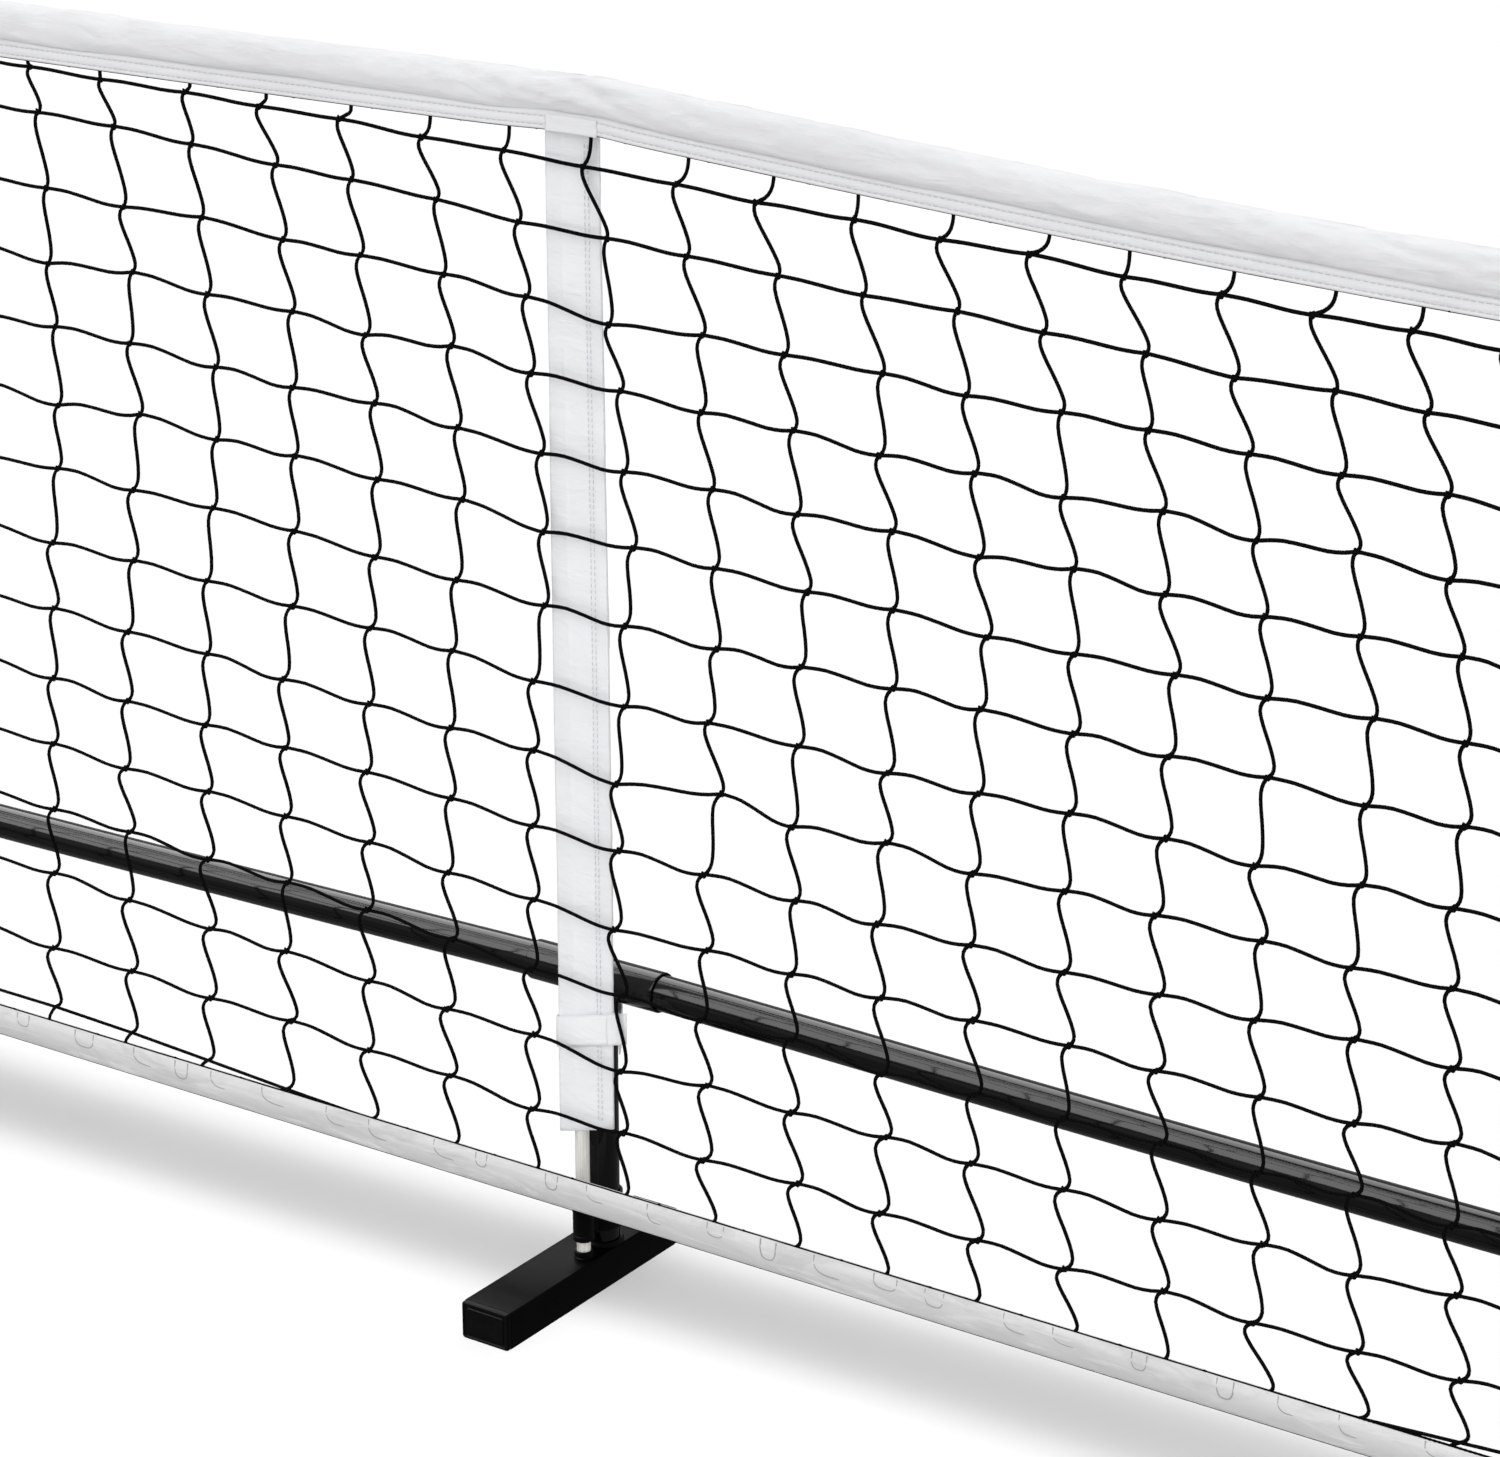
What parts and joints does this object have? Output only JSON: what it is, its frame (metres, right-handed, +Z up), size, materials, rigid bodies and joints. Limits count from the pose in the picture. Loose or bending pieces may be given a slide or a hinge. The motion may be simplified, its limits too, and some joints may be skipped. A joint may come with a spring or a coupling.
{
  "type": "pickleball portable net",
  "caption": "Free-standing portable court net: black steel ground rail and posts on flat feet, knotted netting with white bands, and a centre rod in a fabric strap.",
  "frame": {"origin": "middle of the net on the ground, centred between the end feet", "axes": "+X along the net to the right seen from the front, +Y to the back, +Z up"},
  "size_m": [6.7496, 0.5, 0.924],
  "materials": {
    "black_steel": "gloss powder coat",
    "black_plastic": "satin",
    "button_steel": "plated",
    "fibreglass": "smooth white",
    "white_fabric": "woven, coated",
    "tape": "thin woven tape",
    "cord": "braided cord"
  },
  "bodies": {
    "frame": {"band_bottom": "tape", "band_top": "white_fabric", "collar_center": "black_plastic", "foot_center": "black_steel", "foot_center_cap_back": "black_plastic", "foot_center_cap_front": "black_plastic", "foot_left": "black_steel", "foot_left_cap_back": "black_plastic", "foot_left_cap_front": "black_plastic", "foot_right": "black_steel", "foot_right_cap_back": "black_plastic", "foot_right_cap_front": "black_plastic", "netting": "cord", "post_cap_left": "black_plastic", "post_cap_right": "black_plastic", "post_left": "black_steel", "post_right": "black_steel", "rail_left_1": "black_steel", "rail_left_2": "black_steel", "rail_left_3": "black_steel", "rail_right_1": "black_steel", "rail_right_2": "black_steel", "rail_right_3": "black_steel", "rod_cup": "black_plastic", "rod_guide": "black_plastic", "sleeve_left": "white_fabric", "sleeve_right": "white_fabric", "socket_left": "black_steel", "socket_right": "black_steel", "strap_center": "white_fabric", "tee_center": "black_steel", "tie_center": "white_fabric", "tie_left": "white_fabric", "tie_right": "white_fabric", "upright_center": "black_steel"},
    "rod": {"rod": "fibreglass", "rod_tip": "black_plastic"},
    "button_post_left": {"button_post_left": "button_steel"},
    "button_post_right": {"button_post_right": "button_steel"},
    "button_rail_left_1": {"button_rail_left_1": "button_steel"},
    "button_rail_left_2": {"button_rail_left_2": "button_steel"},
    "button_rail_right_1": {"button_rail_right_1": "button_steel"},
    "button_rail_right_2": {"button_rail_right_2": "button_steel"},
    "button_socket_left": {"button_socket_left": "button_steel"},
    "button_socket_right": {"button_socket_right": "button_steel"},
    "button_tee_left": {"button_tee_left": "button_steel"},
    "button_tee_right": {"button_tee_right": "button_steel"}
  },
  "joints": [
    {"name": "press_post_left", "type": "slide", "parent": "frame", "child": "button_post_left", "axis": [1, 0, 0], "range_m": [0, 0.003], "stiffness_N_per_m": 900},
    {"name": "press_post_right", "type": "slide", "parent": "frame", "child": "button_post_right", "axis": [-1, 0, 0], "range_m": [0, 0.003], "stiffness_N_per_m": 900},
    {"name": "press_rail_left_1", "type": "slide", "parent": "frame", "child": "button_rail_left_1", "axis": [0, -1, 0], "range_m": [0, 0.003], "stiffness_N_per_m": 900},
    {"name": "press_rail_left_2", "type": "slide", "parent": "frame", "child": "button_rail_left_2", "axis": [0, -1, 0], "range_m": [0, 0.003], "stiffness_N_per_m": 900},
    {"name": "press_rail_right_1", "type": "slide", "parent": "frame", "child": "button_rail_right_1", "axis": [0, -1, 0], "range_m": [0, 0.003], "stiffness_N_per_m": 900},
    {"name": "press_rail_right_2", "type": "slide", "parent": "frame", "child": "button_rail_right_2", "axis": [0, -1, 0], "range_m": [0, 0.003], "stiffness_N_per_m": 900},
    {"name": "press_socket_left", "type": "slide", "parent": "frame", "child": "button_socket_left", "axis": [0, -1, 0], "range_m": [0, 0.003], "stiffness_N_per_m": 900},
    {"name": "press_socket_right", "type": "slide", "parent": "frame", "child": "button_socket_right", "axis": [0, -1, 0], "range_m": [0, 0.003], "stiffness_N_per_m": 900},
    {"name": "press_tee_left", "type": "slide", "parent": "frame", "child": "button_tee_left", "axis": [0, -1, 0], "range_m": [0, 0.003], "stiffness_N_per_m": 900},
    {"name": "press_tee_right", "type": "slide", "parent": "frame", "child": "button_tee_right", "axis": [0, -1, 0], "range_m": [0, 0.003], "stiffness_N_per_m": 900},
    {"name": "rod_lift", "type": "slide", "parent": "frame", "child": "rod", "axis": [0, 0, 1], "range_m": [0, 0.012]}
  ]
}
